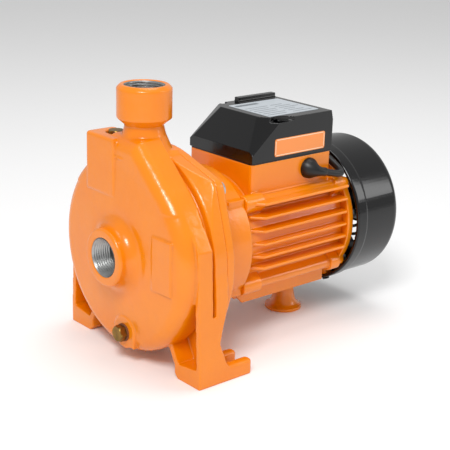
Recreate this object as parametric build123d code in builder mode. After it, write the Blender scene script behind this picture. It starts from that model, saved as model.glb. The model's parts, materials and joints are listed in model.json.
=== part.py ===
from build123d import *
import math
import os

# Close-coupled centrifugal water pump: cast pump end, finned electric motor, fan cover, terminal box.
# The shaft lies along X at shaft_height above the floor, the suction port faces -X, the outlet faces +Z.
# The origin is on the floor, midway between the suction face and the rear of the fan cover.

os.makedirs("parts", exist_ok=True)

# ------------------------------------------------------------------ driving dimensions, millimetres
# Overall
pump_height = 240.0
shaft_height = 96.0
foot_span = 190.0

# Lengths along the shaft, from the suction face to the rear of the fan cover
suction_boss_length = 15.0
casing_disc_depth = 30.6
groove_width = 3.4
casing_flange_thickness = 13.0
bracket_length = 51.0
frame_length = 122.0
cover_gap = 6.0
cover_length = 60.0

# Pump body
outlet_setback = 28.0
disc_radius = 88.0
disc_rim_round = 14.0
disc_flat_radius = 40.0
disc_fall = 2.0
cavity_radius = 80.0
casing_wall = 6.0
groove_radius = 84.0
flange_radius = 90.0
ear_radius = 101.0
lug_hole_depth = 9.0
lug_pitch_radius = 88.5
lug_radius = 12.0
thread_radius = 16.65
thread_depth = 20.0
port_chamfer = 1.2
suction_boss_radius = 25.5
suction_flare = 11.0
suction_throat_radius = 15.5
outlet_boss_radius = 23.5
outlet_boss_height = 33.0
outlet_neck_radius = 16.5
outlet_bore_radius = 12.5
shoulder_top = 195.0
shoulder_side = 48.0
root_top = 186.0
root_side = 26.0
neck_base_side = 20.0
neck_base_top = 197.0
neck_base_round = 12.0
name_pad = (-73.0, -48.0, 78.5, 125.0)
eye_collar_radius = 25.0
eye_collar_length = 8.0

# Legs
leg_setback = 15.5
foot_inner = 65.0
foot_thickness = 13.5
foot_rear_reach = 27.0
leg_wall = 5.0
leg_waist_height = 36.0
leg_waist_depth = 9.0
leg_notch_top = 70.0
leg_flange_top = 60.0
web_thickness = 14.0
slot_spacing = 160.0
slot_width = 10.5
slot_depth = 19.0

# Plugs
plug_thread_radius = 4.8
plug_thread_length = 11.0
plug_hex = 13.0
plug_head_height = 6.0
plug_washer_radius = 8.0
plug_washer_thickness = 1.5
thread_clearance = 0.05
drain_side = -9.5
drain_height = 27.5
drain_pad_radius = 14.5
priming_side = 29.0
priming_setback = 20.0
priming_recess = 6.0

# Motor bracket
bracket_flange_thickness = 8.0
bracket_body_radius = 64.0
bracket_wall = 5.0
spigot_depth = 6.0
spigot_clearance = 0.1
o_ring_radius = 82.2
o_ring_width = 2.8
o_ring_depth = 2.0
flange_bolt_radius = 4.0
tie_side = 47.0
tie_height = 38.0
tie_lug_radius = 8.0
tie_rail_radius = 5.0
tie_rear_lug_radius = 5.4
tie_bolt_radius = 2.5

# Motor frame
frame_bore = 50.0
frame_wall = 4.0
register_depth = 4.0
fin_tip = 62.0
fin_thickness = 2.6
fin_offsets = (39.0, 26.5, 14.0, 2.0, -9.5, -20.0)
bottom_fin_drop = 61.0
bottom_fin_sides = (-33.0, -22.0, -11.0, 0.0, 11.0, 22.0, 33.0)
box_setback = 14.5
box_length = 98.5
box_half_width = 43.0
box_rim_height = 166.0
box_wall = 3.5

# Terminal box cover
cover_skirt = 10.5
cover_rise = 37.0
cover_nose_slope = 20.5
cover_side_slope = 4.0
cover_notch_radius = 17.0
cover_notch_depth = 4.0
cover_shell = 2.4
gasket_thickness = 1.0

# Rotor and bearings
eye_radius = 20.0
eye_clearance = 0.4
impeller_radius = 66.0
impeller_vanes = 6
shroud_thickness = 2.5
vane_height = 7.0
vane_thickness = 2.4
impeller_shaft_radius = 6.0
seal_shaft_radius = 7.0
rotor_shaft_radius = 10.0
front_bearing = (7.5, 17.5, 11.0, 8)
rear_bearing = (6.0, 16.0, 10.0, 7)
ball_radius = 2.95
race_clearance = 0.05
cage_grip = 0.05
air_gap = 0.35
core_radius = 27.5
core_length = 75.0
core_setback = 26.0
stator_slots = 24
fan_radius = 57.0
fan_blades = 8
blade_thickness = 2.2

# Fan cover and rear shield
cover_radius = 69.5
cover_thickness = 2.0
cover_step = 1.2
cover_band = 12.0
cover_edge_round = 9.0
shield_thickness = 12.0
shield_radius = 62.0

# Support foot
support_setback = 102.0
support_base_radius = 18.0
support_neck_radius = 9.5

# Mains lead
lead_radius = 3.25
coil_mean_radius = 35.75
coil_turns_across = 2
coil_turns_high = 2

# ------------------------------------------------------------------ stations along the shaft
total_length = (suction_boss_length + casing_disc_depth + groove_width + casing_flange_thickness
                + bracket_length + frame_length + cover_gap + cover_length)
x_suction = -total_length / 2
x_casing = x_suction + suction_boss_length
x_outlet = x_casing + outlet_setback
x_disc_rear = x_casing + casing_disc_depth
x_flange = x_disc_rear + groove_width
x_joint = x_flange + casing_flange_thickness
x_bracket = x_joint + bracket_flange_thickness
x_frame = x_joint + bracket_length
x_frame_rear = x_frame + frame_length
x_shield_rear = x_frame_rear + shield_thickness
x_cover = x_frame_rear + cover_gap
x_cover_rear = x_cover + cover_length
x_leg = x_casing + leg_setback
x_web = x_joint - web_thickness
x_pad_rear = x_joint + foot_rear_reach
x_box = x_frame + box_setback
x_box_rear = x_box + box_length
x_core = x_frame + core_setback
x_core_rear = x_core + core_length
frame_radius = frame_bore + frame_wall

shaft_axis = Axis((0, 0, shaft_height), (1, 0, 0))
outlet_axis = Axis((x_outlet, 0, 0), (0, 0, 1))
profile_plane = Plane(origin=(0, 0, shaft_height), x_dir=(1, 0, 0), z_dir=(0, -1, 0))


def section(station):
    """Plane across the shaft: its origin on the shaft axis, local x along +Y, local y along +Z."""
    return Plane(origin=(station, 0, shaft_height), x_dir=(0, 1, 0), z_dir=(1, 0, 0))


def add_ring(start, end, outer, inner=0.0, mode=Mode.ADD):
    """Disc or tube on the shaft axis between two stations."""
    with BuildSketch(section(start)) as face:
        Circle(outer)
        if inner:
            Circle(inner, mode=Mode.SUBTRACT)
    extrude(face.sketch, amount=end - start, mode=mode)


def add_turned(corners, mode=Mode.ADD):
    """Solid of revolution about the shaft axis from a closed outline of (station, radius) corners."""
    with BuildSketch(profile_plane) as face:
        with BuildLine():
            Polyline(*corners, close=True)
        make_face()
    revolve(face.sketch, axis=shaft_axis, mode=mode)


def add_block(low, high, mode=Mode.ADD):
    """Box between two corners given as (x, y, z)."""
    size = [b - a for a, b in zip(low, high)]
    with Locations(low):
        Box(*size, align=(Align.MIN, Align.MIN, Align.MIN), mode=mode)


def add_across(outline, start, end, mode=Mode.ADD):
    """Prism along X from a closed (y, z) outline."""
    with BuildSketch(Plane.YZ.offset(start)) as face:
        with BuildLine():
            Polyline(*outline, close=True)
        make_face()
    extrude(face.sketch, amount=end - start, mode=mode)


def add_along(outline, start, end, mode=Mode.ADD):
    """Prism along Y from a closed (x, z) outline."""
    with BuildSketch(Plane.XZ.offset(-end)) as face:
        with BuildLine():
            Polyline(*outline, close=True)
        make_face()
    extrude(face.sketch, amount=end - start, mode=mode)


def flange_outline(start, thickness):
    """Round flange with four rounded lugs, the lug flanks tangent to the disc."""
    with BuildSketch(section(start)) as face:
        Circle(flange_radius)
        with PolarLocations(lug_pitch_radius, 4, start_angle=45):
            Circle(lug_radius)
        make_hull()
    extrude(face.sketch, amount=thickness)


def drill(points, start, end, radius):
    """Round holes along X through (y, z) points given from the shaft axis."""
    with BuildSketch(section(start)) as face:
        with Locations(*points):
            Circle(radius)
    extrude(face.sketch, amount=end - start, mode=Mode.SUBTRACT)


def hex_screw(across_flats, head_height, shank_radius, shank_length):
    """Hex-head screw: its head stands on the local XY plane and its shank runs along -Z."""
    with BuildPart() as screw:
        with BuildSketch():
            RegularPolygon(across_flats / 2, 6, major_radius=False)
        extrude(amount=head_height)
        with BuildSketch(Plane.XY.offset(head_height)):
            Circle(across_flats / 2)
        extrude(amount=-head_height, taper=-30, mode=Mode.INTERSECT)
        with BuildSketch():
            Circle(shank_radius)
        extrude(amount=-shank_length)
    return screw.part


def pan_screw(head_radius, head_height, shank_radius, shank_length):
    """Slotted pan-head screw: its head stands on the local XY plane and its shank runs along -Z."""
    with BuildPart() as screw:
        Cylinder(head_radius, head_height, align=(Align.CENTER, Align.CENTER, Align.MIN))
        fillet(screw.edges().group_by(Axis.Z)[-1], head_height * 0.45)
        Cylinder(shank_radius, shank_length, align=(Align.CENTER, Align.CENTER, Align.MAX))
        with Locations((0, 0, head_height)):
            Box(head_radius * 2, head_radius * 0.28, head_height * 0.9, mode=Mode.SUBTRACT)
    return screw.part


lug_points = [(lug_pitch_radius * math.cos(a), lug_pitch_radius * math.sin(a))
              for a in (math.radians(45 + 90 * k) for k in range(4))]
tie_points = [(side * tie_side, level * tie_height) for side in (-1, 1) for level in (-1, 1)]

# ------------------------------------------------------------------ pump body
x_casing_inner = x_casing + casing_wall
x_priming = x_casing + priming_setback
z_outlet_boss = pump_height - outlet_boss_height
z_priming = shoulder_top - priming_recess
foot_half = foot_span / 2
x_fall = x_casing + disc_fall

with BuildPart() as shoulder:
    add_block((x_casing, 6, shaft_height + 50), (x_disc_rear, shoulder_side, shoulder_top))
    fillet(shoulder.edges().filter_by(Axis.Z).group_by(Axis.Y)[-1], 5.0)
    fillet(shoulder.edges().group_by(Axis.Z)[-1], 2.5)

# The disc runs out tangentially into a broad base for the outlet neck, its front edge rounded.
with BuildPart() as neck_base:
    with BuildSketch(Plane.YZ.offset(x_fall)) as base_outline:
        with Locations((0, shaft_height)):
            Circle(disc_radius - 0.2)
        with Locations((0, neck_base_top - 1)):
            Rectangle(2 * neck_base_side, 2)
        make_hull()
    extrude(amount=x_disc_rear - x_fall)
    fillet(neck_base.edges().group_by(Axis.X)[0], neck_base_round)
    add_block((x_casing, -disc_radius, 0), (x_joint, disc_radius, shaft_height + 50), mode=Mode.SUBTRACT)

# The lugs of the joint flange rise on a cone from the groove to their full reach.
with BuildPart() as casing_flange:
    flange_outline(x_flange, casing_flange_thickness)
    add_turned(((x_flange, 0), (x_flange, flange_radius + 0.3), (x_flange + 1, flange_radius + 0.3),
                (x_joint - 2, ear_radius), (x_joint, ear_radius), (x_joint, 0)), mode=Mode.INTERSECT)

with BuildPart() as casing_outside:
    # Volute disc: flat middle, falling edge and a full round front rim, then a groove.
    with BuildSketch(profile_plane) as casing:
        with BuildLine():
            Polyline((x_casing, 0), (x_casing, disc_flat_radius), (x_fall, disc_radius - disc_rim_round))
            RadiusArc((x_fall, disc_radius - disc_rim_round), (x_fall + disc_rim_round, disc_radius),
                      disc_rim_round)
            Polyline((x_fall + disc_rim_round, disc_radius), (x_disc_rear - 1.5, disc_radius),
                     (x_disc_rear, disc_radius - 1.5), (x_disc_rear, groove_radius),
                     (x_joint, groove_radius), (x_joint, 0), (x_casing, 0))
        make_face()
    revolve(axis=shaft_axis)
    add(neck_base.part)
    add(casing_flange.part)

    # Suction boss with a wide flare onto the disc.
    x_flare = x_casing - suction_flare
    with BuildSketch(profile_plane) as suction:
        with BuildLine():
            Polyline((x_casing + 1, 0), (x_suction, 0), (x_suction, suction_boss_radius - 1.5),
                     (x_suction + 1.5, suction_boss_radius), (x_flare, suction_boss_radius))
            RadiusArc((x_flare, suction_boss_radius), (x_casing, suction_boss_radius + suction_flare),
                      -suction_flare)
            Polyline((x_casing, suction_boss_radius + suction_flare),
                     (x_casing + 1, suction_boss_radius + suction_flare), (x_casing + 1, 0))
        make_face()
    revolve(axis=shaft_axis)

    # Outlet root, shoulder for the priming plug, neck and threaded outlet boss.
    root = ((-root_side, shaft_height + 60), (-root_side, root_top - 3), (-root_side + 4, root_top),
            (shoulder_side - 6, root_top), (shoulder_side - 6, shaft_height + 60))
    add_across(root, x_outlet - 12, x_joint)
    add(shoulder.part)
    with BuildSketch(Plane.XZ) as outlet:
        with BuildLine():
            Polyline(
                (x_outlet, shaft_height + 70), (x_outlet + 27, shaft_height + 84),
                (x_outlet + 22, root_top + 4), (x_outlet + outlet_neck_radius + 2, root_top + 12),
                (x_outlet + outlet_neck_radius, z_outlet_boss - 1),
                (x_outlet + outlet_boss_radius, z_outlet_boss + 5),
                (x_outlet + outlet_boss_radius, pump_height - 3),
                (x_outlet + outlet_boss_radius - 3, pump_height), (x_outlet, pump_height), close=True)
        make_face()
    revolve(axis=outlet_axis)

    add_block((x_joint, -60, shaft_height + 60), (x_joint + 20, 60, root_top + 12), mode=Mode.SUBTRACT)

    # Flat pads that stay level with the front face where the rim falls away: name pad and drain boss.
    pad_low, pad_high, pad_bottom, pad_top = name_pad
    add_block((x_casing, pad_low, pad_bottom), (x_casing + 12, pad_high, pad_top))
    with BuildSketch(Plane.YZ.offset(x_casing)) as drain_pad:
        with Locations((drain_side, drain_height)):
            Circle(drain_pad_radius)
        with Locations((drain_side, drain_height - 6)):
            Rectangle(2 * drain_pad_radius, 12)
    extrude(amount=22)

# One leg as a solid outline, lower behind the groove, its rear edge waisted and its front face hollowed.
with BuildPart() as near_leg:
    leg_outline = (
        (-foot_half, 0), (-foot_half, foot_thickness), (-flange_radius, shaft_height + 22),
        (-flange_radius + 11, shaft_height + 39), (-45, shaft_height), (-45, 36), (-55, 22),
        (-foot_inner + 4, 11), (-foot_inner + 4, 4), (-foot_inner, 0),
    )
    add_across(leg_outline, x_leg, x_joint)
    add_block((x_disc_rear, -foot_half - 1, shaft_height), (x_joint + 1, 0, shaft_height + 50),
              mode=Mode.SUBTRACT)
    add_across(((-foot_half - 1, leg_flange_top - 5), (-foot_half + 0.2, leg_flange_top),
                (-flange_radius, shaft_height), (-flange_radius, shaft_height + 1),
                (-foot_half - 1, shaft_height + 1)), x_disc_rear, x_joint + 1, mode=Mode.SUBTRACT)
    add_block((x_disc_rear, -foot_half - 1, leg_flange_top), (x_flange, 0, shaft_height + 1),
              mode=Mode.SUBTRACT)
    rear_notch = (
        (x_joint + 1, leg_notch_top + 3), (x_joint, leg_notch_top),
        (x_joint - leg_waist_depth, leg_waist_height), (x_joint - 2, foot_thickness + 3),
        (x_joint + 1, foot_thickness),
    )
    add_along(rear_notch, -foot_half - 1, -30, mode=Mode.SUBTRACT)
    with BuildSketch() as pad:
        with Locations(((x_leg + x_pad_rear) / 2, -(foot_half + foot_inner) / 2)):
            Rectangle(x_pad_rear - x_leg, foot_half - foot_inner)
        with Locations((x_pad_rear - slot_depth / 2, -slot_spacing / 2)):
            Rectangle(slot_depth, slot_width, mode=Mode.SUBTRACT)
        with Locations((x_pad_rear - slot_depth, -slot_spacing / 2)):
            Circle(slot_width / 2, mode=Mode.SUBTRACT)
        fillet(pad.vertices().group_by(Axis.X)[-1], 4.0)
    extrude(amount=foot_thickness)
    fillet(near_leg.edges().filter_by_position(Axis.Z, foot_thickness - 0.1, foot_thickness + 0.1)
           .filter_by_position(Axis.X, x_joint + 1, x_pad_rear + 1), 3.0)
    pocket = (
        (-foot_half + leg_wall, foot_thickness + 3), (-flange_radius + leg_wall, shaft_height + 4),
        (-60, shaft_height + 4), (-50, 46), (-foot_inner + 5, 24), (-foot_inner - 1, foot_thickness),
    )
    add_across(pocket, x_leg, x_web, mode=Mode.SUBTRACT)
    add(casing_outside.part, mode=Mode.SUBTRACT)
with BuildPart() as far_leg:
    mirror(near_leg.part, about=Plane.XZ)

with BuildPart() as pump_body:
    add(casing_outside.part)

    # Water cavity, suction throat with its eye collar, and the outlet passage.
    add_ring(x_casing_inner, x_joint, cavity_radius, mode=Mode.SUBTRACT)
    x_collar = x_casing_inner + eye_collar_length
    add_ring(x_casing_inner - 1, x_collar, eye_collar_radius)
    add_ring(x_casing_inner + 1, x_collar, eye_radius + eye_clearance, mode=Mode.SUBTRACT)
    add_ring(x_suction, x_collar, suction_throat_radius, mode=Mode.SUBTRACT)
    add_turned(((x_suction, 0), (x_suction, thread_radius + port_chamfer),
                (x_suction + port_chamfer, thread_radius), (x_suction + thread_depth, thread_radius),
                (x_suction + thread_depth, 0)), mode=Mode.SUBTRACT)
    with BuildSketch(Plane.XZ) as passage:
        with BuildLine():
            Polyline(
                (x_outlet, pump_height), (x_outlet + thread_radius + port_chamfer, pump_height),
                (x_outlet + thread_radius, pump_height - port_chamfer),
                (x_outlet + thread_radius, pump_height - thread_depth),
                (x_outlet + outlet_bore_radius, pump_height - thread_depth - 3),
                (x_outlet + outlet_bore_radius, shaft_height + 60), (x_outlet, shaft_height + 60),
                close=True)
        make_face()
    revolve(axis=outlet_axis, mode=Mode.SUBTRACT)

    # Plug holes and the tapped lug holes.
    with BuildSketch(Plane.YZ.offset(x_casing)) as drain_hole:
        with Locations((drain_side, drain_height)):
            Circle(plug_thread_radius + thread_clearance)
    extrude(amount=30, mode=Mode.SUBTRACT)
    with BuildSketch(Plane.XY.offset(z_priming)) as recess:
        with Locations((x_priming, priming_side)):
            Circle(plug_washer_radius + 1.0)
    extrude(amount=priming_recess + plug_head_height, mode=Mode.SUBTRACT)
    with BuildSketch(Plane.XY.offset(shoulder_top)) as priming_hole:
        with Locations((x_priming, priming_side)):
            Circle(plug_thread_radius + thread_clearance)
    extrude(amount=-40, mode=Mode.SUBTRACT)
    drill(lug_points, x_joint - lug_hole_depth, x_joint, flange_bolt_radius)

# ------------------------------------------------------------------ plugs and their sealing washers
plug = hex_screw(plug_hex, plug_head_height, plug_thread_radius, plug_thread_length)
with BuildPart() as plug_washer:
    Cylinder(plug_washer_radius, plug_washer_thickness, align=(Align.CENTER, Align.CENTER, Align.MIN))
    Cylinder(plug_thread_radius + thread_clearance, 3 * plug_washer_thickness, mode=Mode.SUBTRACT)

drain_seat = Plane(origin=(x_casing, drain_side, drain_height), x_dir=(0, 1, 0), z_dir=(-1, 0, 0))
priming_seat = Plane(origin=(x_priming, priming_side, z_priming))
with BuildPart() as drain_plug_washer:
    with Locations(drain_seat):
        add(plug_washer.part)
with BuildPart() as drain_plug:
    with Locations(drain_seat.offset(plug_washer_thickness)):
        add(plug)
with BuildPart() as priming_plug_washer:
    with Locations(priming_seat):
        add(plug_washer.part)
with BuildPart() as priming_plug:
    with Locations(priming_seat.offset(plug_washer_thickness)):
        add(plug)

# ------------------------------------------------------------------ motor bracket
seal_bore = 16.0
seat_width = 6.0
x_spigot = x_joint - spigot_depth
x_seat = x_joint + 2.0
x_seat_rear = x_seat + seat_width
front_bore, front_outer, front_width, front_balls = front_bearing
x_front_bearing = x_frame - 2.0 - front_width
x_bracket_wall = x_front_bearing - 4.0

with BuildPart() as motor_bracket:
    flange_outline(x_joint, bracket_flange_thickness)
    add_ring(x_spigot, x_joint, cavity_radius - spigot_clearance)
    add_turned(((x_joint, 0), (x_bracket, bracket_body_radius + 8), (x_bracket + 6, bracket_body_radius),
                (x_frame, bracket_body_radius), (x_frame, frame_bore),
                (x_frame + register_depth, frame_bore), (x_frame + register_depth, 0)))
    for side, level in tie_points:
        with BuildSketch(section(x_frame - 18)) as lug:
            with Locations((side * 0.9, level)):
                Rectangle(2 * tie_lug_radius + 2, 2 * tie_lug_radius - 3)
            with Locations((side * 0.8, level * 0.8)):
                Circle(tie_lug_radius)
            make_hull()
        extrude(amount=18)
    # Inner space between the seal wall and the bearing wall.
    add_ring(x_bracket + 4, x_bracket_wall, bracket_body_radius - bracket_wall, seal_bore + 6,
             mode=Mode.SUBTRACT)
    add_ring(x_bracket + 8, x_bracket_wall, seal_bore + 7, mode=Mode.SUBTRACT)
    # Seal seat pocket, shaft passage, bearing seat and rear relief.
    add_ring(x_spigot, x_seat, seal_bore + 3, mode=Mode.SUBTRACT)
    add_ring(x_seat, x_seat_rear, seal_bore, mode=Mode.SUBTRACT)
    add_ring(x_seat_rear, x_frame + register_depth, seal_shaft_radius + 3, mode=Mode.SUBTRACT)
    add_ring(x_front_bearing, x_frame + register_depth, front_outer, mode=Mode.SUBTRACT)
    add_ring(x_frame - 2.0, x_frame + register_depth, frame_bore - 6, mode=Mode.SUBTRACT)
    add_ring(x_bracket_wall + 6, x_frame, frame_bore - 6, front_outer + 6, mode=Mode.SUBTRACT)
    # Face groove for the casing seal and the weep opening below the shaft.
    add_ring(x_joint, x_joint + o_ring_depth, o_ring_radius + o_ring_width / 2,
             o_ring_radius - o_ring_width / 2, mode=Mode.SUBTRACT)
    add_block((x_bracket + 9, -9, shaft_height - 70), (x_bracket_wall, 9, shaft_height - 40),
              mode=Mode.SUBTRACT)
    drill(lug_points, x_joint, x_bracket, flange_bolt_radius + 0.4)
    drill(tie_points, x_frame - 18, x_frame, tie_bolt_radius)

with BuildPart() as casing_o_ring:
    add_ring(x_joint, x_joint + o_ring_depth, o_ring_radius + o_ring_width / 2,
             o_ring_radius - o_ring_width / 2)

flange_screw = hex_screw(13.0, 5.5, flange_bolt_radius, bracket_flange_thickness + lug_hole_depth - 0.5)
with BuildPart() as flange_bolts:
    with Locations(*[Plane(origin=(x_bracket, y, shaft_height + z), z_dir=(1, 0, 0))
                     for y, z in lug_points]):
        add(flange_screw)

# ------------------------------------------------------------------ mechanical seal
seal_lap_radius = 12.0
bellows_length = 9.0
seal_ring_width = 5.0
x_seal_ring = x_seat - seal_ring_width
x_bellows = x_seal_ring - bellows_length

with BuildPart() as seal_seat_cup:
    add_ring(x_seat, x_seat_rear, seal_bore, seal_bore - 2.5)
with BuildPart() as seal_seat:
    add_ring(x_seat, x_seat_rear, seal_bore - 2.5, seal_shaft_radius + 1.0)
with BuildPart() as seal_face_ring:
    add_ring(x_seal_ring, x_seat - 0.02, seal_lap_radius, seal_shaft_radius + 1.0)
with BuildPart() as seal_bellows:
    add_turned(((x_bellows, seal_shaft_radius), (x_bellows, seal_lap_radius),
                (x_bellows + 2, seal_lap_radius), (x_bellows + 2, seal_shaft_radius + 2),
                (x_seal_ring - 2, seal_shaft_radius + 2), (x_seal_ring - 2, seal_lap_radius),
                (x_seal_ring, seal_lap_radius), (x_seal_ring, seal_shaft_radius)))
spring_wire = 0.9
spring_height = bellows_length - 4.0
with BuildPart() as seal_spring:
    with BuildLine() as coil:
        Helix(pitch=spring_height / 2.5, height=spring_height - 2 * spring_wire,
              radius=seal_shaft_radius + 3.4, center=(x_bellows + 2 + spring_wire, 0, shaft_height),
              direction=(1, 0, 0))
    with BuildSketch(Plane(origin=coil.line @ 0, z_dir=coil.line % 0)):
        Circle(spring_wire)
    sweep(is_frenet=True)

# ------------------------------------------------------------------ shaft, impeller and its fixings
rear_bore, rear_outer, rear_width, rear_balls = rear_bearing
x_impeller_front = x_outlet - 8.0
x_vanes = x_impeller_front + shroud_thickness
x_back_shroud = x_vanes + vane_height
x_impeller_rear = x_bellows
x_hub = x_vanes
x_shaft_front = x_hub - 11.0
x_rear_bearing = x_frame_rear - 2.0
x_fan = x_shield_rear + 8.0
fan_width = 26.0
x_shaft_rear = x_fan + fan_width + 4.0
nut_width = 6.0
washer_width = 1.5
nut_thread_radius = 5.0
key_width = 4.0
key_reach = 2.0
x_key = x_hub + 2
x_key_rear = x_impeller_rear - 1

with BuildPart() as motor_shaft:
    add_turned((
        (x_shaft_front, 0), (x_shaft_front, nut_thread_radius - 1), (x_shaft_front + 1, nut_thread_radius),
        (x_hub, nut_thread_radius), (x_hub, impeller_shaft_radius),
        (x_impeller_rear, impeller_shaft_radius), (x_impeller_rear, seal_shaft_radius),
        (x_front_bearing, seal_shaft_radius), (x_front_bearing, front_bore),
        (x_front_bearing + front_width, front_bore), (x_front_bearing + front_width, rotor_shaft_radius),
        (x_rear_bearing, rotor_shaft_radius), (x_rear_bearing, rear_bore),
        (x_shaft_rear - 1, rear_bore), (x_shaft_rear, rear_bore - 1), (x_shaft_rear, 0)))
    add_block((x_key, -key_width / 2, shaft_height + impeller_shaft_radius - key_reach),
              (x_key_rear, key_width / 2, shaft_height + rotor_shaft_radius), mode=Mode.SUBTRACT)
    add_ring(x_fan + fan_width, x_fan + fan_width + 1.2, rear_bore + 1, rear_bore - 1, mode=Mode.SUBTRACT)

hub_radius = 13.0
with BuildSketch() as vane:
    with BuildLine() as camber:
        Spline((16, 0), (38, 22), (impeller_radius * 0.72, impeller_radius * 0.69),
               tangents=((1, 0.35), (0.25, 1)))
    trace(camber.line, line_width=vane_thickness)
with BuildPart() as impeller:
    add_ring(x_back_shroud, x_back_shroud + shroud_thickness, impeller_radius)
    add_turned(((x_impeller_front, eye_radius - 3), (x_impeller_front, impeller_radius),
                (x_vanes, impeller_radius), (x_vanes, eye_radius - 3)))
    add_ring(x_collar - eye_collar_length + 1.5, x_impeller_front + 1, eye_radius, eye_radius - 3)
    with BuildSketch(section(x_vanes)):
        with PolarLocations(0, impeller_vanes):
            add(vane.sketch)
    extrude(amount=vane_height)
    add_ring(x_hub, x_impeller_rear, hub_radius)
    add_ring(x_hub, x_impeller_rear, impeller_shaft_radius, mode=Mode.SUBTRACT)
    add_block((x_key, -key_width / 2, shaft_height), (x_key_rear, key_width / 2,
              shaft_height + impeller_shaft_radius + key_reach), mode=Mode.SUBTRACT)
    add_ring(x_collar - eye_collar_length, x_joint, impeller_radius + 40, impeller_radius,
             mode=Mode.SUBTRACT)

with BuildPart() as impeller_key:
    add_block((x_key, -key_width / 2, shaft_height + impeller_shaft_radius - key_reach),
              (x_key_rear, key_width / 2, shaft_height + impeller_shaft_radius + key_reach))
with BuildPart() as impeller_washer:
    add_ring(x_hub - washer_width, x_hub, 10.0, nut_thread_radius)
with BuildPart() as impeller_nut:
    with BuildSketch(section(x_hub - washer_width - nut_width)):
        RegularPolygon(8.5, 6, major_radius=False)
        Circle(nut_thread_radius, mode=Mode.SUBTRACT)
    extrude(amount=nut_width)
with BuildPart() as water_slinger:
    add_turned(((x_bracket_wall - 14, seal_shaft_radius), (x_bracket_wall - 14, 14),
                (x_bracket_wall - 11, 16), (x_bracket_wall - 10, 16), (x_bracket_wall - 10, 11),
                (x_bracket_wall - 6, 11), (x_bracket_wall - 6, seal_shaft_radius)))

# ------------------------------------------------------------------ ball bearings
def bearing_pieces(start, bore, outer, width, count):
    """Outer ring, inner ring, ball set and cage of a deep-groove ball bearing."""
    middle = start + width / 2
    pitch = (bore + outer) / 2
    with BuildPart() as groove:
        with BuildSketch(profile_plane) as face:
            with Locations((middle, pitch)):
                Circle(ball_radius + race_clearance)
        revolve(axis=shaft_axis)
    with BuildPart() as outer_ring:
        add_ring(start, start + width, outer, pitch + 2.1)
        add(groove.part, mode=Mode.SUBTRACT)
    with BuildPart() as inner_ring:
        add_ring(start, start + width, pitch - 2.1, bore)
        add(groove.part, mode=Mode.SUBTRACT)
    seats = [Location((middle, pitch * math.cos(a), shaft_height + pitch * math.sin(a)))
             for a in (2 * math.pi * k / count for k in range(count))]
    with BuildPart() as balls:
        with Locations(*seats):
            Sphere(ball_radius)
    with BuildPart() as cage:
        add_ring(middle - 3.9, middle + 3.9, pitch + 0.9, pitch - 0.9)
        with Locations(section(middle)):
            with PolarLocations(pitch, count):
                Cylinder(ball_radius - cage_grip, 4.0, rotation=(0, 90, 0), mode=Mode.SUBTRACT)
    return outer_ring, inner_ring, balls, cage


front_set = bearing_pieces(x_front_bearing, front_bore, front_outer, front_width, front_balls)
rear_set = bearing_pieces(x_rear_bearing, rear_bore, rear_outer, rear_width, rear_balls)

# ------------------------------------------------------------------ stator and rotor core
winding_reach = 15.0
slot_outer = frame_bore - 11.0
slot_inner = core_radius + air_gap + 3.0
ring_inner = slot_inner - 0.8
slot_size = (slot_outer - slot_inner, 3.6)
slot_middle = (slot_outer + slot_inner) / 2

with BuildPart() as stator_core:
    add_ring(x_core, x_core_rear, frame_bore, core_radius + air_gap)
    with BuildSketch(section(x_core)) as slots:
        with PolarLocations(slot_middle, stator_slots):
            Rectangle(*slot_size)
    extrude(amount=core_length, mode=Mode.SUBTRACT)
with BuildPart() as stator_winding:
    for start, side in ((x_core, -1), (x_core_rear, 1)):
        add_turned(((start, ring_inner), (start, slot_outer + 3),
                    (start + side * (winding_reach - 4), slot_outer + 3),
                    (start + side * winding_reach, slot_outer - 1),
                    (start + side * winding_reach, ring_inner + 1),
                    (start + side * (winding_reach - 2), ring_inner)))
    with BuildSketch(section(x_core - 1)):
        with PolarLocations(slot_middle, stator_slots):
            Rectangle(*slot_size)
    extrude(amount=core_length + 2)
with BuildPart() as rotor_core:
    add_ring(x_core, x_core_rear, core_radius, rotor_shaft_radius)
with BuildPart() as rotor_end_rings:
    add_ring(x_core - 6, x_core, core_radius - 1, core_radius - 8)
    add_ring(x_core_rear, x_core_rear + 6, core_radius - 1, core_radius - 8)

# ------------------------------------------------------------------ motor frame
z_floor_of_box = shaft_height + frame_radius
box_corner = 4.0

z_cover = box_rim_height + gasket_thickness
z_cover_top = z_cover + cover_rise
box_screw_points = [(x_box + 34.0, side * (box_half_width - 5.5)) for side in (-1, 1)]
box_post_radius = 5.5
box_screw_radius = 1.9
box_head_radius = 3.6
box_screw_seat = 9.0
box_screw_length = 22.0

x_gland = x_box_rear - 29.5
z_gland = box_rim_height - 12.0
gland_radius = 9.5
x_support = x_frame + support_setback
foot_screw_radius = 3.0
foot_screw_grip = 8.0

with BuildPart() as box:
    add_block((x_box, -box_half_width, shaft_height + 30), (x_box_rear, box_half_width, box_rim_height))
    fillet(box.edges().filter_by(Axis.Z), box_corner)
with BuildPart() as hollow:
    add_block((x_box + box_wall, -box_half_width + box_wall, z_floor_of_box),
              (x_box_rear - box_wall, box_half_width - box_wall, box_rim_height))
    fillet(hollow.edges().filter_by(Axis.Z), box_corner - 1)

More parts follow.
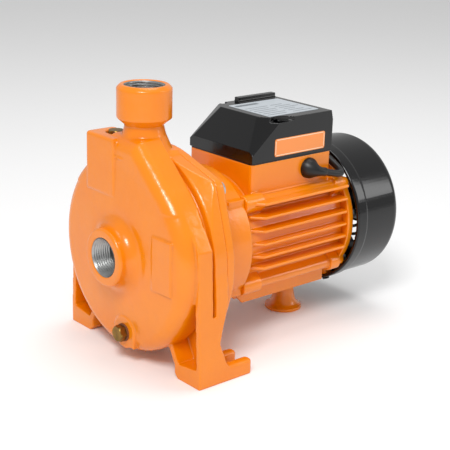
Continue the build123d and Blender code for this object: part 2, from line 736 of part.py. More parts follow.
with BuildPart() as motor_frame:
    add_ring(x_frame, x_frame_rear, frame_radius)
    for side in (-1, 1):
        for offset in fin_offsets:
            with BuildSketch(Plane.XY.offset(shaft_height + offset - fin_thickness / 2)) as fin:
                with BuildLine():
                    Polyline((x_frame + 6, side * 30), (x_frame + 6, side * 52), (x_frame + 16, side * fin_tip),
                             (x_frame_rear - 2, side * fin_tip), (x_frame_rear, side * 52),
                             (x_frame_rear, side * 30), close=True)
                make_face()
            extrude(amount=fin_thickness)
    for offset in bottom_fin_sides:
        with BuildSketch(Plane.XZ.offset(-offset - fin_thickness / 2)) as fin:
            with BuildLine():
                Polyline((x_frame + 8, shaft_height - 30), (x_frame + 8, shaft_height - 52),
                         (x_frame + 16, shaft_height - bottom_fin_drop),
                         (x_frame_rear - 2, shaft_height - bottom_fin_drop),
                         (x_frame_rear - 2, shaft_height - 30), close=True)
            make_face()
        extrude(amount=fin_thickness)
    for side, level in tie_points:
        for start, end, radius in ((x_frame, x_frame + 22, tie_lug_radius),
                                   (x_frame_rear - 12, x_frame_rear, tie_lug_radius),
                                   (x_frame, x_frame_rear, tie_rail_radius)):
            with BuildSketch(section(start)) as lug:
                with Locations((side, level)):
                    Circle(radius)
                with Locations((side * 0.75, level * 0.75)):
                    Circle(radius)
                make_hull()
            extrude(amount=end - start)
    add(box.part)
    add(hollow.part, mode=Mode.SUBTRACT)
    with BuildSketch(Plane.XY.offset(z_floor_of_box)) as posts:
        with Locations(*box_screw_points):
            Circle(box_post_radius)
    extrude(amount=box_rim_height - z_floor_of_box)
    # Pad for the support foot, bore, lead hole, wire hole and screw holes.
    with BuildSketch(Plane.XY.offset(shaft_height - bottom_fin_drop)) as support_pad:
        with Locations((x_support, 0)):
            Circle(support_neck_radius + 4)
    extrude(amount=20)
    add_ring(x_frame, x_frame_rear, frame_bore, mode=Mode.SUBTRACT)
    drill(tie_points, x_frame, x_frame_rear, tie_bolt_radius)
    with Locations(*[(x, y, box_rim_height) for x, y in box_screw_points]):
        Cylinder(box_screw_radius, 2 * (box_screw_length - box_screw_seat), mode=Mode.SUBTRACT)
    with Locations(Plane(origin=(x_gland, -box_half_width, z_gland), z_dir=(0, 1, 0))):
        Cylinder(gland_radius - 3, 4 * box_wall, mode=Mode.SUBTRACT)
    with Locations((x_support, 0, shaft_height - bottom_fin_drop)):
        Cylinder(foot_screw_radius, 2 * foot_screw_grip, mode=Mode.SUBTRACT)
    with BuildSketch(Plane.XY.offset(z_floor_of_box + 1)) as wire_hole:
        with Locations((x_box + 10, 0)):
            Circle(6)
    extrude(amount=-12, mode=Mode.SUBTRACT)

# ------------------------------------------------------------------ rear end shield and tie bolts
# Three tabs on the shield carry the fan cover, each with a radial screw.
tab_angles = (60, 248, 330)
tab_width = 12.0
tab_length = 9.0
tab_root = 16.0
cover_inner_radius = cover_radius - cover_step - cover_thickness
tab_reach = math.sqrt(cover_inner_radius ** 2 - (tab_width / 2) ** 2)
x_tab_screw = x_cover + 1 + tab_length / 2
cover_screw_radius = 1.8
cover_screw_length = 9.0



def radial_seat(angle, radius):
    """Location on the fan cover's band at an angle about the shaft, its local Z pointing outwards."""
    turn = math.radians(angle)
    outward = (0, math.cos(turn), math.sin(turn))
    place = (x_tab_screw, radius * outward[1], shaft_height + radius * outward[2])
    return Plane(origin=place, x_dir=(1, 0, 0), z_dir=outward)


with BuildPart() as rear_end_shield:
    add_turned(((x_frame_rear - register_depth, 0), (x_frame_rear - register_depth, frame_bore),
                (x_frame_rear, frame_bore), (x_frame_rear, shield_radius),
                (x_frame_rear + 5, shield_radius), (x_shield_rear, 26), (x_shield_rear, 0)))
    for side, level in tie_points:
        with BuildSketch(section(x_frame_rear)) as lug:
            with Locations((side, level)):
                Circle(tie_rear_lug_radius)
            with Locations((side * 0.7, level * 0.7)):
                Circle(tie_lug_radius)
            make_hull()
        extrude(amount=8)
    with BuildSketch(section(x_cover + 1)):
        for angle in tab_angles:
            with PolarLocations(tab_reach - tab_root / 2, 1, start_angle=angle):
                Rectangle(tab_root, tab_width)
    extrude(amount=tab_length)
    add_turned(((x_frame_rear, shield_radius - 22), (x_frame_rear, shield_radius),
                (x_cover + 1, shield_radius), (x_cover + 1, shield_radius - 22)))
    add_ring(x_frame_rear - register_depth, x_rear_bearing, rear_outer + 2, mode=Mode.SUBTRACT)
    add_ring(x_rear_bearing, x_rear_bearing + rear_width + 1.5, rear_outer, mode=Mode.SUBTRACT)
    add_ring(x_rear_bearing, x_shield_rear, rear_bore + 1.5, mode=Mode.SUBTRACT)
    drill(tie_points, x_frame_rear, x_shield_rear, tie_bolt_radius + 0.3)
    drill(tie_points, x_frame_rear + 8, x_shield_rear, tie_bolt_radius + 3.5)
    with Locations(*[radial_seat(angle, cover_radius) for angle in tab_angles]):
        Cylinder(cover_screw_radius, 2 * (cover_screw_length + 1), mode=Mode.SUBTRACT)

with BuildPart() as wave_washer:
    add_ring(x_rear_bearing + rear_width, x_rear_bearing + rear_width + 1.5, rear_outer, rear_outer - 3)

tie_length = x_frame_rear + 8 - (x_frame - 18)
tie_screw = hex_screw(8.0, 4.0, tie_bolt_radius, tie_length)
with BuildPart() as tie_bolts:
    with Locations(*[Plane(origin=(x_frame_rear + 8, y, shaft_height + z), z_dir=(1, 0, 0))
                     for y, z in tie_points]):
        add(tie_screw)

# ------------------------------------------------------------------ cooling fan and fan cover
with BuildPart() as cooling_fan:
    add_ring(x_fan, x_fan + fan_width, 13.0)
    add_ring(x_fan, x_fan + 2.5, fan_radius - 12)
    with BuildSketch(section(x_fan)):
        with PolarLocations((fan_radius + 8) / 2, fan_blades):
            Rectangle(fan_radius - 8, blade_thickness)
    extrude(amount=fan_width - 4)
    add_ring(x_fan, x_fan + fan_width, rear_bore, mode=Mode.SUBTRACT)
with BuildPart() as fan_circlip:
    add_ring(x_fan + fan_width, x_fan + fan_width + 1.2, rear_bore + 2.5, rear_bore - 1)
    add_block((x_fan, -2, shaft_height), (x_fan + fan_width + 2, 2, shaft_height + 20), mode=Mode.SUBTRACT)

grille_rings = (16.0, 24.0, 32.0, 40.0, 48.0)
with BuildPart() as fan_cover:
    with BuildSketch(profile_plane) as shell:
        with BuildLine():
            Line((x_cover, 0), (x_cover, cover_radius - 1))
            Polyline((x_cover, cover_radius - 1), (x_cover + 1, cover_radius),
                     (x_cover + cover_band, cover_radius),
                     (x_cover + cover_band + cover_step, cover_radius - cover_step),
                     (x_cover_rear - cover_edge_round, cover_radius - cover_step))
            RadiusArc((x_cover_rear - cover_edge_round, cover_radius - cover_step),
                      (x_cover_rear, cover_radius - cover_step - cover_edge_round), cover_edge_round)
            Polyline((x_cover_rear, cover_radius - cover_step - cover_edge_round), (x_cover_rear, 0),
                     (x_cover, 0))
        make_face()
    revolve(axis=shaft_axis)
    inner_round = cover_edge_round - cover_thickness
    with BuildSketch(profile_plane) as inside:
        with BuildLine():
            Polyline((x_cover, 0), (x_cover, cover_inner_radius), (x_cover_rear - cover_edge_round, cover_inner_radius))
            RadiusArc((x_cover_rear - cover_edge_round, cover_inner_radius),
                      (x_cover_rear - cover_thickness, cover_inner_radius - inner_round), inner_round)
            Polyline((x_cover_rear - cover_thickness, cover_inner_radius - inner_round),
                     (x_cover_rear - cover_thickness, 0), (x_cover, 0))
        make_face()
    revolve(axis=shaft_axis, mode=Mode.SUBTRACT)
    for radius in grille_rings:
        with BuildSketch(section(x_cover_rear - cover_thickness - 1)) as arcs:
            Circle(radius + 2.4)
            Circle(radius - 2.4, mode=Mode.SUBTRACT)
            for turn in range(4):
                Rectangle(5, 2 * cover_radius, rotation=45 * turn, mode=Mode.SUBTRACT)
        extrude(amount=cover_thickness + 2, mode=Mode.SUBTRACT)

    with Locations(*[radial_seat(angle, cover_radius) for angle in tab_angles]):
        Cylinder(cover_screw_radius, 2 * cover_screw_length, mode=Mode.SUBTRACT)

cover_screw = pan_screw(3.4, 1.8, cover_screw_radius, cover_screw_length)
with BuildPart() as fan_cover_screws:
    with Locations(*[radial_seat(angle, cover_radius) for angle in tab_angles]):
        add(cover_screw)

# ------------------------------------------------------------------ terminal box
def cover_form(inset):
    """Solid form of the terminal box cover, drawn in by an inset on every outer face."""
    front = x_box + inset
    rear = x_box_rear - inset
    top = z_cover_top - inset
    half = box_half_width - inset
    with BuildPart() as form:
        add_along(((front, z_cover), (front, z_cover + cover_skirt), (front + cover_nose_slope, top),
                   (rear - 2, top), (rear, top - 8), (rear, z_cover)), -half, half)
        add_across(((half + 1, z_cover + cover_skirt - 1), (half, z_cover + cover_skirt),
                    (half - cover_side_slope, top), (half - cover_side_slope, top + 1), (half + 1, top + 1)),
                   front - 1, rear + 1, mode=Mode.SUBTRACT)
        for side in (-1, 1):
            facet = Plane(origin=(front + 3.5, side * half, z_cover + cover_skirt), x_dir=(0, 1, 0),
                          z_dir=(-1.08, side * 0.84, 1.27))
            split(bisect_by=facet, keep=Keep.BOTTOM)
        # Half-round notch in the near roof edge around the screw.
        with Locations((x_box + 34.0, -box_half_width - 8.0, top)):
            Cylinder(cover_notch_radius + inset, 2 * cover_notch_depth, mode=Mode.SUBTRACT)
    return form.part


cover_outer = cover_form(0.0)
cover_inner = cover_form(cover_shell)
with BuildPart() as cover_posts:
    add(cover_outer)
    with BuildSketch(Plane.XY.offset(z_cover)) as post_faces:
        with Locations(*box_screw_points):
            Circle(box_post_radius)
    extrude(amount=cover_rise + 1, mode=Mode.INTERSECT)
with BuildPart() as terminal_box_cover:
    add(cover_outer)
    add(cover_inner, mode=Mode.SUBTRACT)
    add(cover_posts.part)
    with Locations(*[(x, y, z_cover_top) for x, y in box_screw_points]):
        Cylinder(box_screw_radius + 0.2, 2 * cover_rise, mode=Mode.SUBTRACT)
        Cylinder(box_head_radius + 0.4, 2 * (cover_rise - box_screw_seat), mode=Mode.SUBTRACT)
    # Raised moulding along the far edge of the roof.
    add_block((x_box + 50, box_half_width - cover_side_slope - 6, z_cover_top - 1),
              (x_box_rear - 2, box_half_width - cover_side_slope, z_cover_top + 3.5))

with BuildPart() as terminal_box_gasket:
    add_block((x_box, -box_half_width, box_rim_height), (x_box_rear, box_half_width, z_cover))
    fillet(terminal_box_gasket.edges().filter_by(Axis.Z), box_corner)
    add_block((x_box + box_wall, -box_half_width + box_wall, box_rim_height),
              (x_box_rear - box_wall, box_half_width - box_wall, z_cover), mode=Mode.SUBTRACT)

box_screw = pan_screw(box_head_radius, 2.4, box_screw_radius, box_screw_length)
with BuildPart() as terminal_box_screws:
    with Locations(*[(x, y, z_cover + box_screw_seat) for x, y in box_screw_points]):
        add(box_screw)

block_length = 56.0
block_width = 18.0
block_height = 13.0
block_side = -20.0
block_poles = 4
x_block = x_box + 36.0
pole_points = [(x_block + block_length * (index + 0.5) / block_poles, block_side + side * 5)
               for index in range(block_poles) for side in (-1, 1)]
with BuildPart() as terminal_block:
    add_block((x_block, block_side - block_width / 2, z_floor_of_box),
              (x_block + block_length, block_side + block_width / 2, z_floor_of_box + block_height))
    for index in range(block_poles - 1):
        x_gap = x_block + block_length * (index + 1) / block_poles
        add_block((x_gap - 1, block_side - block_width, z_floor_of_box + 6),
                  (x_gap + 1, block_side + block_width, z_floor_of_box + block_height), mode=Mode.SUBTRACT)
    with Locations(*[(x, y, z_floor_of_box + block_height) for x, y in pole_points]):
        Cylinder(1.5, 12.0, mode=Mode.SUBTRACT)
block_screw = pan_screw(2.6, 1.6, 1.5, 6.0)
with BuildPart() as terminal_screws:
    with Locations(*[(x, y, z_floor_of_box + block_height) for x, y in pole_points]):
        add(block_screw)

capacitor_radius = 13.5
capacitor_length = 58.0
capacitor_side = 13.5
x_capacitor = x_box + 34.0
z_capacitor = z_floor_of_box + 1.5 + capacitor_radius
with BuildPart() as capacitor:
    with Locations(Plane(origin=(x_capacitor, capacitor_side, z_capacitor), z_dir=(1, 0, 0))):
        Cylinder(capacitor_radius, capacitor_length, align=(Align.CENTER, Align.CENTER, Align.MIN))
    fillet(capacitor.edges().group_by(Axis.X)[0], 1.5)
    fillet(capacitor.edges().group_by(Axis.X)[-1], 1.5)
with BuildPart() as capacitor_clip:
    with Locations(Plane(origin=(x_capacitor + 22, capacitor_side, z_capacitor), z_dir=(1, 0, 0))):
        Cylinder(capacitor_radius + 1.5, 14, align=(Align.CENTER, Align.CENTER, Align.MIN))
        Cylinder(capacitor_radius, 14, align=(Align.CENTER, Align.CENTER, Align.MIN), mode=Mode.SUBTRACT)

# ------------------------------------------------------------------ mains lead: gland, lead, coil, plug
y_gland = -box_half_width
gland_base_depth = 2.0
boot_end = (x_gland + 12.0, y_gland - 10.5, z_gland - 3.5)
with BuildPart() as cable_gland:
    with BuildSketch(Plane(origin=(x_gland, y_gland, z_gland), x_dir=(1, 0, 0), z_dir=(0, -1, 0))):
        Circle(gland_radius)
    with BuildSketch(Plane(origin=(x_gland + 0.6, y_gland - gland_base_depth, z_gland - 0.1),
                           x_dir=(1, 0, 0), z_dir=(0.1, -1, 0))):
        Circle(gland_radius)
    with BuildSketch(Plane(origin=(x_gland + 3.4, y_gland - 7.0, z_gland - 1.2), x_dir=(0.8, -0.6, 0),
                           z_dir=(0.6, -0.8, -0.1))):
        Circle(6.6)
    with BuildSketch(Plane(origin=boot_end, x_dir=(0.18, -0.98, 0), z_dir=(0.95, -0.18, -0.25))):
        Circle(lead_radius + 1.0)
    loft()
    with Locations(Plane(origin=(x_gland, y_gland, z_gland), z_dir=(0, 1, 0))):
        Cylinder(gland_radius - 3, box_wall + 1.5, align=(Align.CENTER, Align.CENTER, Align.MIN))

lead_top = shaft_height + frame_radius + lead_radius + 5.5
lead_points = [
    boot_end, (x_gland + 23.0, y_gland - 12.6, z_gland - 6.5), (x_gland + 33.5, y_gland - 11.5, z_gland - 8.0),
    (x_gland + 38.0, y_gland - 2.0, z_gland - 5.0), (x_gland + 37.5, y_gland + 13.0, lead_top - 3.0),
    (x_gland + 37.0, -13.0, lead_top + 2.0), (x_gland + 37.0, 7.0, lead_top + 1.5),
    (x_gland + 37.5, 27.0, lead_top), (x_gland + 38.0, 47.0, lead_top - 5.0),
    (x_gland + 38.5, 66.5, lead_top - 18.0), (x_gland + 37.5, 78.0, lead_top - 43.0),
    (x_gland + 35.5, 81.5, lead_top - 72.0), (x_gland + 34.0, 80.5, lead_top - 100.0),
    (x_gland + 33.5, 81.5, lead_top - 124.0), (x_gland + 33.5, 88.0, 17.3),
    (x_gland + 33.5, 101.0, 6.3), (x_gland + 33.5, 118.0, lead_radius),
    (x_gland + 33.5, 134.0, lead_radius),
]


def corner_radii(points):
    """Largest tangent radius at each corner of a route, 0.45 of the shorter run beside it."""
    radii = []
    for before, corner, after in zip(points, points[1:], points[2:]):
        arriving = Vector(*corner) - Vector(*before)
        leaving = Vector(*after) - Vector(*corner)
        turn = math.radians(arriving.get_angle(leaving))
        radii.append(0.45 * min(arriving.length, leaving.length) / math.tan(turn / 2))
    return radii


lead_radii = corner_radii(lead_points)
with BuildPart() as mains_lead:
    with BuildLine() as route:
        FilletPolyline(*lead_points, radius=lead_radii)
    with BuildSketch(Plane(origin=route.line @ 0, z_dir=route.line % 0)):
        Circle(lead_radius)
    sweep()
print("lead corner radii:", [round(radius, 1) for radius in lead_radii])
lead_length = route.wires()[0].length
print("lead length:", round(lead_length, 1), "volume against section times length:",
      round(mains_lead.part.volume / (math.pi * lead_radius ** 2 * lead_length), 4))

x_coil = x_gland + 33.5 + coil_mean_radius + (coil_turns_across - 1) * lead_radius
y_coil = 150.0
with BuildPart() as mains_lead_coil:
    with Locations((x_coil, y_coil, 0)):
        Cylinder(coil_mean_radius + coil_turns_across * lead_radius, 2 * coil_turns_high * lead_radius,
                 align=(Align.CENTER, Align.CENTER, Align.MIN))
        Cylinder(coil_mean_radius - coil_turns_across * lead_radius, 2 * coil_turns_high * lead_radius,
                 align=(Align.CENTER, Align.CENTER, Align.MIN), mode=Mode.SUBTRACT)
    fillet(mains_lead_coil.edges(), 2.0)

plug_size = (28.0, 38.0, 18.0)
plug_relief = 22.0
x_plug = x_coil + coil_mean_radius + (coil_turns_across - 1) * lead_radius
y_plug = y_coil - 16.0
z_plug = plug_size[2] / 2
with BuildPart() as mains_plug:
    with BuildSketch(Plane(origin=(x_plug, y_plug, z_plug), x_dir=(1, 0, 0), z_dir=(0, -1, 0))):
        Circle(lead_radius + 0.8)
    with BuildSketch(Plane(origin=(x_plug, y_plug - plug_relief, z_plug), x_dir=(1, 0, 0), z_dir=(0, -1, 0))):
        Circle(6.0)
    loft()
    with Locations((x_plug, y_plug - plug_relief - plug_size[1] / 2, z_plug)):
        Box(*plug_size)
    fillet(mains_plug.edges().filter_by(Axis.Y), 5.0)
blade_angles = (30, 150, 270)
with BuildPart() as plug_blades:
    with BuildSketch(Plane(origin=(x_plug, y_plug - plug_relief - plug_size[1], z_plug), x_dir=(1, 0, 0),
                           z_dir=(0, -1, 0))):
        for angle in blade_angles:
            with PolarLocations(5.5, 1, start_angle=angle):
                Rectangle(6.0, 1.6)
    extrude(amount=16.0)

# ------------------------------------------------------------------ support foot
support_top = shaft_height - bottom_fin_drop
with BuildPart() as support_foot:
    with BuildSketch(Plane.XZ) as trumpet:
        with BuildLine():
            Line((x_support, 0), (x_support + support_base_radius, 0))
            Line((x_support + support_base_radius, 0), (x_support + support_base_radius, 3.0))
            Spline((x_support + support_base_radius, 3.0), (x_support + support_neck_radius + 1.5, 12.0),
                   (x_support + support_neck_radius, support_top - 6.0), tangents=((-1, 0.25), (0, 1)))
            Polyline((x_support + support_neck_radius, support_top - 6.0),
                     (x_support + support_neck_radius + 2.0, support_top), (x_support, support_top),
                     (x_support, 0))
        make_face()
    revolve(axis=Axis((x_support, 0, 0), (0, 0, 1)))
    with Locations((x_support, 0, 0)):
        Cylinder(7.0, 2 * 9.0, mode=Mode.SUBTRACT)
        Cylinder(3.2, 2 * support_top, mode=Mode.SUBTRACT)
foot_screw = hex_screw(10.0, 4.0, foot_screw_radius, support_top - 9.0 + foot_screw_grip)
with BuildPart() as support_foot_screw:
    with Locations(Plane(origin=(x_support, 0, 9.0), z_dir=(0, 0, -1))):
        add(foot_screw)

# ------------------------------------------------------------------ labels
label_thickness = 0.3
with BuildPart() as rating_label:
    with BuildSketch(Plane.XY.offset(z_cover_top)):
        with Locations((x_box + 59.0, -5.0)):
            RectangleRounded(62.0, 56.0, 2.0)
    extrude(amount=label_thickness)
with BuildPart() as side_label:
    with BuildSketch(Plane.XZ.offset(box_half_width)):
        with Locations((x_box + 57.5, z_cover + 11.0)):
            RectangleRounded(62.0, 16.0, 2.0)
    extrude(amount=label_thickness)

# ------------------------------------------------------------------ named pieces
pieces = {
    "pump_body": pump_body,
    "near_leg": near_leg,
    "far_leg": far_leg,
    "drain_plug": drain_plug,
    "drain_plug_washer": drain_plug_washer,
    "priming_plug": priming_plug,
    "priming_plug_washer": priming_plug_washer,
    "motor_bracket": motor_bracket,
    "casing_o_ring": casing_o_ring,
    "flange_bolts": flange_bolts,
    "seal_seat_cup": seal_seat_cup,
    "seal_seat": seal_seat,
    "seal_face_ring": seal_face_ring,
    "seal_bellows": seal_bellows,
    "seal_spring": seal_spring,
    "motor_shaft": motor_shaft,
    "impeller": impeller,
    "impeller_key": impeller_key,
    "impeller_washer": impeller_washer,
    "impeller_nut": impeller_nut,
    "water_slinger": water_slinger,
    "stator_core": stator_core,
    "stator_winding": stator_winding,
    "rotor_core": rotor_core,
    "rotor_end_rings": rotor_end_rings,
    "motor_frame": motor_frame,
    "rear_end_shield": rear_end_shield,
    "wave_washer": wave_washer,
    "tie_bolts": tie_bolts,
    "cooling_fan": cooling_fan,
    "fan_circlip": fan_circlip,
    "fan_cover": fan_cover,
    "fan_cover_screws": fan_cover_screws,
    "terminal_box_cover": terminal_box_cover,
    "terminal_box_gasket": terminal_box_gasket,
    "terminal_box_screws": terminal_box_screws,
    "terminal_block": terminal_block,
    "terminal_screws": terminal_screws,
    "capacitor": capacitor,
    "capacitor_clip": capacitor_clip,
    "cable_gland": cable_gland,
    "mains_lead": mains_lead,
    "mains_lead_coil": mains_lead_coil,
    "mains_plug": mains_plug,
    "plug_blades": plug_blades,
    "support_foot": support_foot,
    "support_foot_screw": support_foot_screw,
    "rating_label": rating_label,
    "side_label": side_label,
}
for end, bearing_set in (("front", front_set), ("rear", rear_set)):
    for name, piece in zip(("outer_ring", "inner_ring", "balls", "cage"), bearing_set):
        pieces[f"{end}_bearing_{name}"] = piece
for name, piece in pieces.items():
    piece.part.label = name
    export_step(piece.part, f"parts/{name}.step")
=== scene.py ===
import json
import math
import bmesh
import bpy
from mathutils import Matrix, Vector

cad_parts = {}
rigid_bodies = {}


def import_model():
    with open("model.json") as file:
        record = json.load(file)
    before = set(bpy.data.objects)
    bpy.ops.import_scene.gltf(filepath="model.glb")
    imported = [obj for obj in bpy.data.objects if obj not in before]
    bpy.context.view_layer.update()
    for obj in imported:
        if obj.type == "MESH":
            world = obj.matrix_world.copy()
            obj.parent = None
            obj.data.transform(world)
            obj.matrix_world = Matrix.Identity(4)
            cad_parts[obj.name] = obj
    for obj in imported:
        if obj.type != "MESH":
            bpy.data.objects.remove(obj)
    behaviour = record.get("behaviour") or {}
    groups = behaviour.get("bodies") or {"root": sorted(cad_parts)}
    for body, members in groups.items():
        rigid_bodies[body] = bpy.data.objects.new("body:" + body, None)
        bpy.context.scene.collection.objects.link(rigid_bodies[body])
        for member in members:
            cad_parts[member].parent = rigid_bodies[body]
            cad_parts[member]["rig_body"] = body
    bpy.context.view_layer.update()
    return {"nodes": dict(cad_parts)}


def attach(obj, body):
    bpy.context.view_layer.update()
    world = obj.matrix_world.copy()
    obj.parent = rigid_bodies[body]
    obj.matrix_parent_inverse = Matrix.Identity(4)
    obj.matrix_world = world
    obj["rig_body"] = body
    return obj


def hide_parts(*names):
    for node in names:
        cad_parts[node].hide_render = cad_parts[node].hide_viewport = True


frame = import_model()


# ---------------------------------------------------------------- pump body
# Grey-iron volute with its outlet neck, two legs and bolting flange, sand cast in one piece and
# brushed and sprayed with thick orange gloss enamel, so every edge is rounded and slightly wavy.
def colour(code):
    """Linear RGBA of an sRGB hex code such as "#FF8C10"."""
    parts = [int(code[i:i + 2], 16) / 255 for i in (1, 3, 5)]
    return [c / 12.92 if c <= 0.04045 else ((c + 0.055) / 1.055) ** 2.4 for c in parts] + [1.0]


def add_node(material, kind, settings, links=()):
    """Adds one shader node: settings by property or socket name, links as (socket, source) pairs."""
    made = material.node_tree.nodes.new(kind)
    for name, value in settings.items():
        if isinstance(name, str) and name not in made.inputs:
            setattr(made, name, value)
        else:
            made.inputs[name].default_value = value
    for name, source in links:
        material.node_tree.links.new(source, made.inputs[name])
    return made


def new_material(name):
    """A material with a bare Principled shader; returns it, the shader and the object coordinates."""
    material = bpy.data.materials.new(name)
    material.use_nodes = True
    shader = material.node_tree.nodes["Principled BSDF"]
    coordinates = add_node(material, "ShaderNodeTexCoord", {}).outputs["Object"]
    return material, shader, coordinates


def dress(material, *names):
    """Gives CAD nodes a material."""
    for name in names:
        frame["nodes"][name].material_slots[0].material = material


def enamel_over(name, base, shade, hollow_shade_colour, swell, grit):
    """Thick orange gloss enamel over a casting: runs and slight orange peel in the coat, the sand skin
    of the metal under it, and painted shade: a dark brown mixed into the colour where the surface is
    concave."""
    material, shader, place = new_material(name)
    tree = material.node_tree
    flow = add_node(material, "ShaderNodeTexNoise", {"Scale": 1 / swell, "Detail": 2.0, "Roughness": 0.45},
                    [("Vector", place)])
    skin = add_node(material, "ShaderNodeTexNoise", {"Scale": 1 / grit, "Detail": 4.0, "Roughness": 0.6},
                    [("Vector", place)])
    patches = add_node(material, "ShaderNodeTexNoise", {"Scale": 1 / 0.035, "Detail": 3.0},
                       [("Vector", place)])
    tint = add_node(material, "ShaderNodeMix", {"data_type": "RGBA", 6: colour(base), 7: colour(shade)},
                    [(0, patches.outputs["Fac"])])
    edge = add_node(material, "ShaderNodeNewGeometry", {})
    # Painted shade: up to 55 percent of a dark brown is mixed into the colour where the surface is concave,
    # so creases and recesses read darker.
    hollow_shade_amount = add_node(material, "ShaderNodeMapRange",
                      {"From Min": 0.40, "From Max": 0.50, "To Min": 0.55, "To Max": 0.0},
                      [("Value", edge.outputs["Pointiness"])])
    enamel_with_hollow_shade = add_node(material, "ShaderNodeMix", {"data_type": "RGBA", 7: colour(hollow_shade_colour)},
                     [(0, hollow_shade_amount.outputs["Result"]), (6, tint.outputs[2])])
    tree.links.new(enamel_with_hollow_shade.outputs[2], shader.inputs["Base Color"])
    gloss = add_node(material, "ShaderNodeMapRange", {"To Min": 0.16, "To Max": 0.30},
                     [("Value", patches.outputs["Fac"])])
    tree.links.new(gloss.outputs["Result"], shader.inputs["Roughness"])
    low = add_node(material, "ShaderNodeBump", {"Strength": 0.35, "Distance": 0.0012},
                   [("Height", flow.outputs["Fac"])])
    fine = add_node(material, "ShaderNodeBump", {"Strength": 0.12, "Distance": 0.0003},
                    [("Height", skin.outputs["Fac"]), ("Normal", low.outputs["Normal"])])
    tree.links.new(fine.outputs["Normal"], shader.inputs["Normal"])
    shader.inputs["IOR"].default_value = 1.5
    shader.inputs["Coat Weight"].default_value = 0.2
    shader.inputs["Coat Roughness"].default_value = 0.06
    return material


def cast_copy(nodes, name, voxel, passes, triangles, material):
    """A cast or moulded version of CAD nodes: their solids joined, remeshed in small cells and worn
    round at every edge, then thinned to a triangle count. It rides on their body and stands for them."""
    mesh = bpy.data.meshes.new(name + "_pattern")
    shape = bmesh.new()
    for node in nodes:
        shape.from_mesh(frame["nodes"][node].data)
    bmesh.ops.remove_doubles(shape, verts=shape.verts, dist=1e-6)
    shape.to_mesh(mesh)
    shape.free()
    rough = bpy.data.objects.new(name + "_pattern", mesh)
    bpy.context.scene.collection.objects.link(rough)
    cells = rough.modifiers.new("cells", "REMESH")
    cells.mode = "VOXEL"
    cells.voxel_size = voxel
    soften = rough.modifiers.new("soften", "SMOOTH")
    soften.iterations = passes
    depsgraph = bpy.context.evaluated_depsgraph_get()
    count = len(rough.evaluated_get(depsgraph).data.polygons) * 2
    if count > triangles:
        thin = rough.modifiers.new("thin", "DECIMATE")
        thin.ratio = triangles / count
        depsgraph = bpy.context.evaluated_depsgraph_get()
    final = bpy.data.meshes.new_from_object(rough.evaluated_get(depsgraph))
    bpy.data.objects.remove(rough)
    piece = bpy.data.objects.new(name, final)
    bpy.context.scene.collection.objects.link(piece)
    final.materials.clear()
    final.materials.append(material)
    final.shade_smooth()
    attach(piece, frame["nodes"][nodes[0]]["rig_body"])
    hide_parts(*nodes)
    return piece


# The third colour of each enamel is the painted shade mixed into its concave hollows.
enamel = enamel_over("gloss_enamel_on_cast_iron", "#F18A00", "#E67A00", "#6E3002", 0.009, 0.0016)
frame_enamel = enamel_over("gloss_enamel_on_cast_aluminium", "#F18A00", "#E87E00", "#743504", 0.012, 0.0024)

# Inside the ports the iron is bare: grey wherever the surface lies within the bore of either port, so
# the eye reads a machined hole in a painted casting. The outlet is bare only above its thread's foot.
shaft_z, outlet_x, bore, thread_foot_z = 0.096, -0.1075, 0.0173, 0.2195
bare = add_node(enamel, "ShaderNodeTexCoord", {}).outputs["Object"]
corner = add_node(enamel, "ShaderNodeSeparateXYZ", {}, [("Vector", bare)])
flat_to_x = add_node(enamel, "ShaderNodeVectorMath", {"operation": "MULTIPLY", 1: (0, 1, 1)}, [(0, bare)])
off_shaft = add_node(enamel, "ShaderNodeVectorMath", {"operation": "DISTANCE", 1: (0, 0, shaft_z)},
                     [(0, flat_to_x.outputs["Vector"])])
in_suction = add_node(enamel, "ShaderNodeMath", {"operation": "LESS_THAN", 1: bore},
                      [(0, off_shaft.outputs["Value"])])
flat_to_z = add_node(enamel, "ShaderNodeVectorMath", {"operation": "MULTIPLY", 1: (1, 1, 0)}, [(0, bare)])
off_outlet = add_node(enamel, "ShaderNodeVectorMath", {"operation": "DISTANCE", 1: (outlet_x, 0, 0)},
                      [(0, flat_to_z.outputs["Vector"])])
in_outlet = add_node(enamel, "ShaderNodeMath", {"operation": "LESS_THAN", 1: bore},
                     [(0, off_outlet.outputs["Value"])])
high = add_node(enamel, "ShaderNodeMath", {"operation": "GREATER_THAN", 1: thread_foot_z},
                [(0, corner.outputs["Z"])])
outlet_mask = add_node(enamel, "ShaderNodeMath", {"operation": "MULTIPLY"},
                       [(0, in_outlet.outputs["Value"]), (1, high.outputs["Value"])])
port_mask = add_node(enamel, "ShaderNodeMath", {"operation": "MAXIMUM"},
                     [(0, in_suction.outputs["Value"]), (1, outlet_mask.outputs["Value"])])
enamel_colour = enamel.node_tree.nodes["Principled BSDF"].inputs["Base Color"]
painted = enamel_colour.links[0].from_socket
iron = add_node(enamel, "ShaderNodeMix", {"data_type": "RGBA", 7: colour("#77797A")},
                [(0, port_mask.outputs["Value"]), (6, painted)])
enamel.node_tree.links.new(iron.outputs[2], enamel_colour)

body = cast_copy(["pump_body", "near_leg", "far_leg"], "cast_pump_body", 0.0008, 5, 190000, enamel)
bracket = cast_copy(["motor_bracket"], "cast_motor_bracket", 0.0009, 5, 120000, enamel)
motor = cast_copy(["motor_frame"], "cast_motor_frame", 0.0007, 3, 190000, frame_enamel)
shield = cast_copy(["rear_end_shield"], "cast_rear_end_shield", 0.0009, 3, 80000, frame_enamel)
foot = cast_copy(["support_foot"], "cast_support_foot", 0.0006, 3, 40000, frame_enamel)


